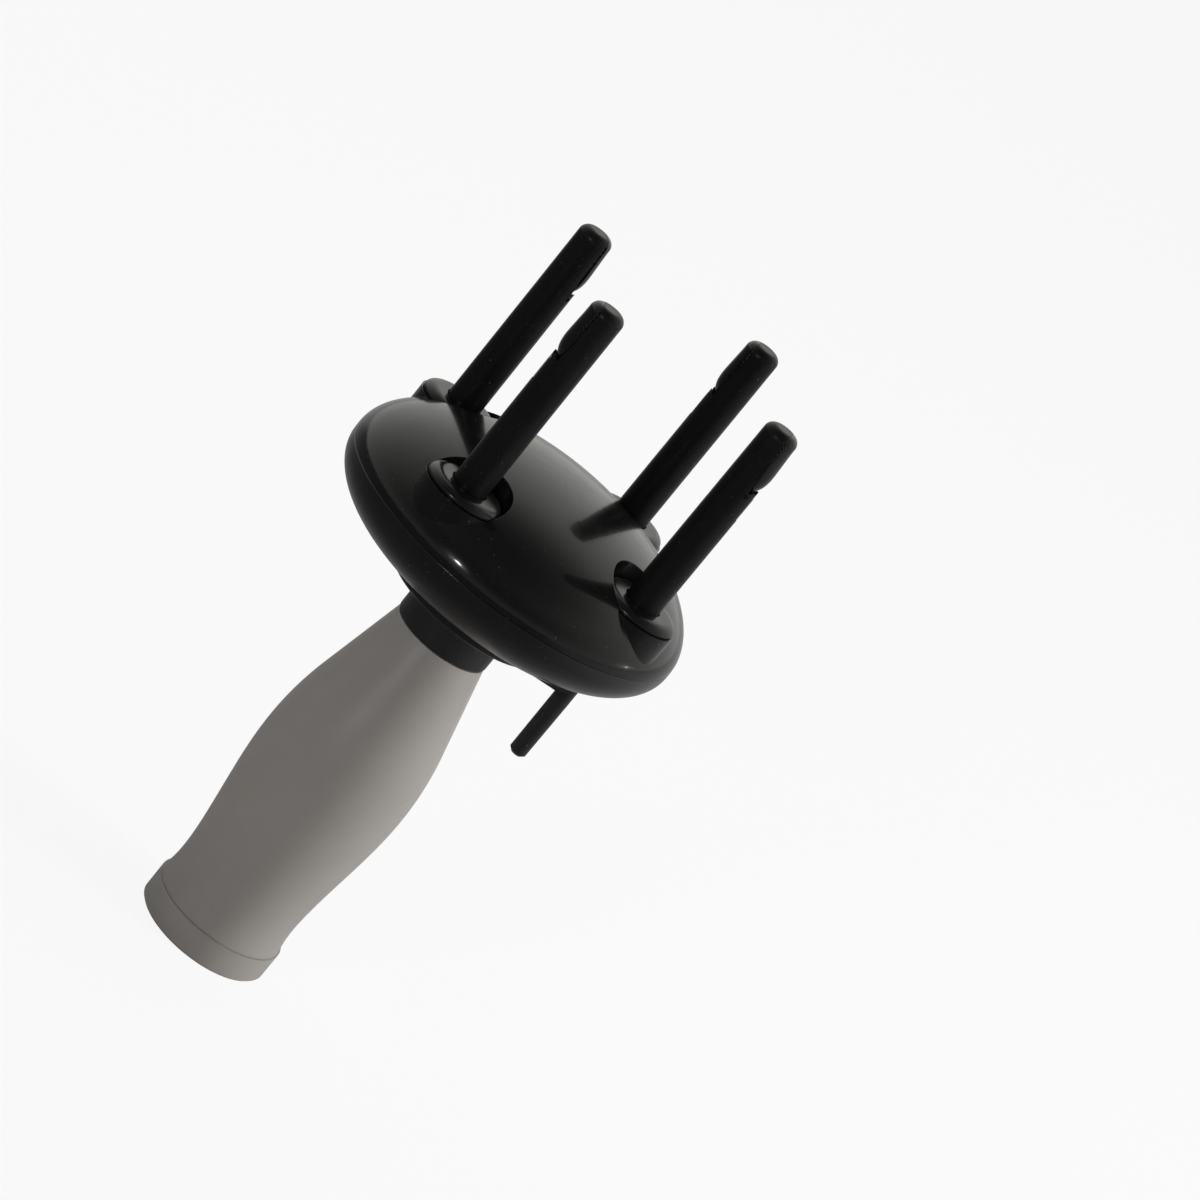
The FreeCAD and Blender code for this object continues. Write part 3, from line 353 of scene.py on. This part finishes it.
def make_floor():
    """Plain pale floor under the foot. Mirrored in gloss it glows with a painted reflection of the room:
    light behind and to the right of the object, and dim in front of it."""
    half = 12.0
    corners = [(-half, -half, 0), (half, -half, 0), (half, half, 0), (-half, half, 0)]
    mesh = bpy.data.meshes.new("floor")
    mesh.from_pydata(corners, [], [(0, 1, 2, 3)])
    floor = bpy.data.objects.new("floor", mesh)
    scene.collection.objects.link(floor)
    material, shader, place = new_material("floor_white")
    connect(shader, "Base Color", place.noise(scale=3.0, detail=2.0).blend(grey(0.86), grey(0.88)))
    connect(shader, "Roughness", 0.8)
    tree = material.node_tree
    start = Shade(tree)
    camera = start.ray("Camera")
    mirrored = start.ray("Glossy") + start.ray("Transmission")
    # painted reflection: to glossy rays the floor glows light behind and to the right and dim in front, in
    # place of the room's light
    painted_lit_side = place.towards((0.89, 0.456, 0.0)).between(-0.15, 0.40)
    painted_room_glow = painted_lit_side.blend(grey(0.11), grey(0.48))
    glow = start.node("ShaderNodeEmission", None, {"Color": camera.blend(painted_room_glow, grey(1.0)), "Strength": 1.0})
    share = (camera + mirrored) * 0.9
    shown = start.node("ShaderNodeMixShader", None, {0: share, 1: Shade(tree, shader.outputs[0]), 2: glow})
    tree.links.new(shown.socket, tree.nodes["Material Output"].inputs[0])
    mesh.materials.append(material)
    floor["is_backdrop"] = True


def make_world():
    """White round the object for the camera. Reflections see a bright wall behind the object, which
    dims overhead and low down, and a dim room in front of it, which is lighter low down. The even light
    follows the wall more gently."""
    world = bpy.data.worlds.new("studio")
    scene.world = world
    world.use_nodes = True
    tree = world.node_tree
    tree.nodes.clear()
    start = Shade(tree)
    direction = start.node("ShaderNodeTexCoord", None, None, "Generated")
    height = start.node("ShaderNodeSeparateXYZ", None, {0: direction}, "Z")
    behind = direction.towards((0.42, 0.91, 0.0)).between(-0.95, 0.75)
    overhead = height.between(0.66, 1.04)
    low_down = 1 - height.between(0.0, 0.38)
    wall = behind * (1 - overhead) * (1 - low_down * 0.35)
    room = low_down.blend(grey(0.13), grey(0.55))
    reflected = wall.blend(room, (1.005, 1.0, 0.955, 1.0))
    even = wall.blend(grey(0.10), grey(0.55))
    colour = start.ray("Camera").blend(start.ray("Glossy").blend(even, reflected), grey(1.0))
    back = start.node("ShaderNodeBackground", None, {"Color": colour, "Strength": 1.0})
    out = tree.nodes.new("ShaderNodeOutputWorld")
    tree.links.new(back.socket, out.inputs[0])


def soft_lamp(name, place, size, power, mirrored=True):
    """Oval soft lamp that faces the pod's centre, with its place and size in metres. One that isn't
    mirrored gives light but doesn't show in gloss."""
    light = bpy.data.lights.new(name, "AREA")
    light.shape = "ELLIPSE"
    light.size, light.size_y = size
    light.energy = power
    lamp = bpy.data.objects.new(name, light)
    lamp.location = place
    lamp.rotation_euler = (Vector(POD_CENTRE) - Vector(place)).to_track_quat("-Z", "Y").to_euler()
    lamp.visible_glossy = mirrored
    scene.collection.objects.link(lamp)


make_floor()
make_world()
soft_lamp("glint", place=(-0.91, -1.25, 0.56), size=(0.13, 0.10), power=3.0)
soft_lamp("top", place=(0.5, 0.2, 1.9), size=(0.9, 0.9), power=3.0, mirrored=False)
soft_lamp("side", place=(1.5, -0.25, 0.45), size=(0.5, 0.8), power=17.0, mirrored=False)
soft_lamp("spark", place=(1.62, -0.10, 0.24), size=(0.02, 0.02), power=0.35)
scene.view_settings.view_transform = "Standard"


low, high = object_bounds()
